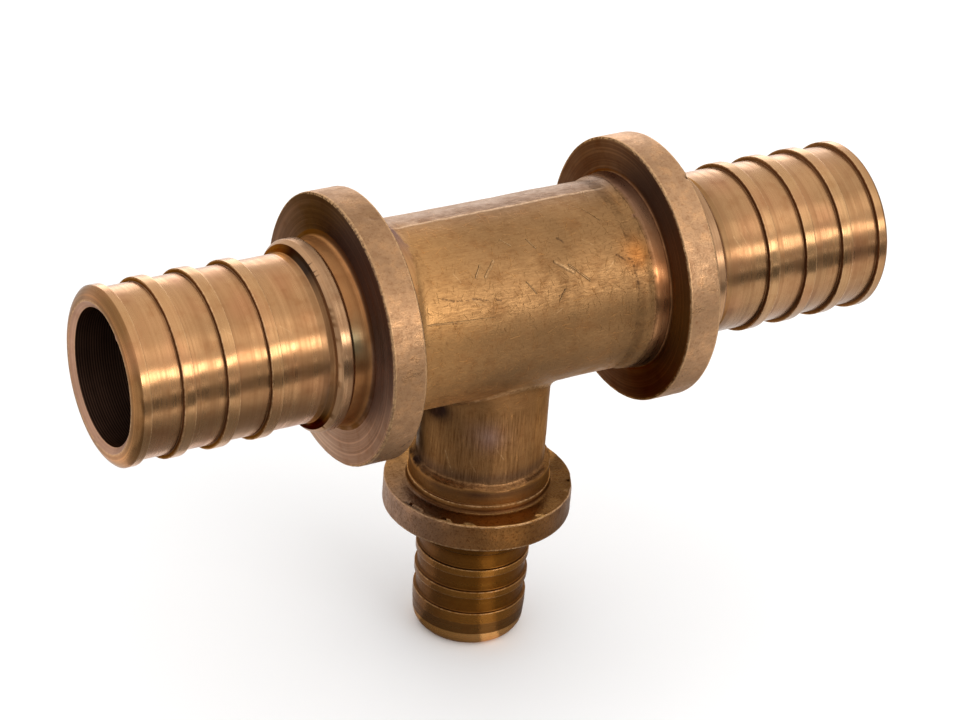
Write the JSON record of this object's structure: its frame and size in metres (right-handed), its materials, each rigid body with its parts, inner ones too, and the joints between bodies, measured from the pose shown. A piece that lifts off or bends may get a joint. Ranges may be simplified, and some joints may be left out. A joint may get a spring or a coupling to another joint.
{
  "type": "pex tee",
  "caption": "Reducing pipe tee cast and turned in bronze, with ribbed tails for plastic pipe, a gripping flange behind each tail and a smaller branch pointing down.",
  "frame": {"origin": "where the axes of the run and of the branch cross", "axes": "X along the run, -Z along the branch, which is the way down; +Z points at the plain back of the barrel"},
  "size_m": [0.0984, 0.0316, 0.0609],
  "materials": {
    "bronze": "cast barrel and neck with turned ends, tarnished brown with scratches"
  },
  "bodies": {
    "root": {"tee_body": "bronze"}
  },
  "joints": []
}
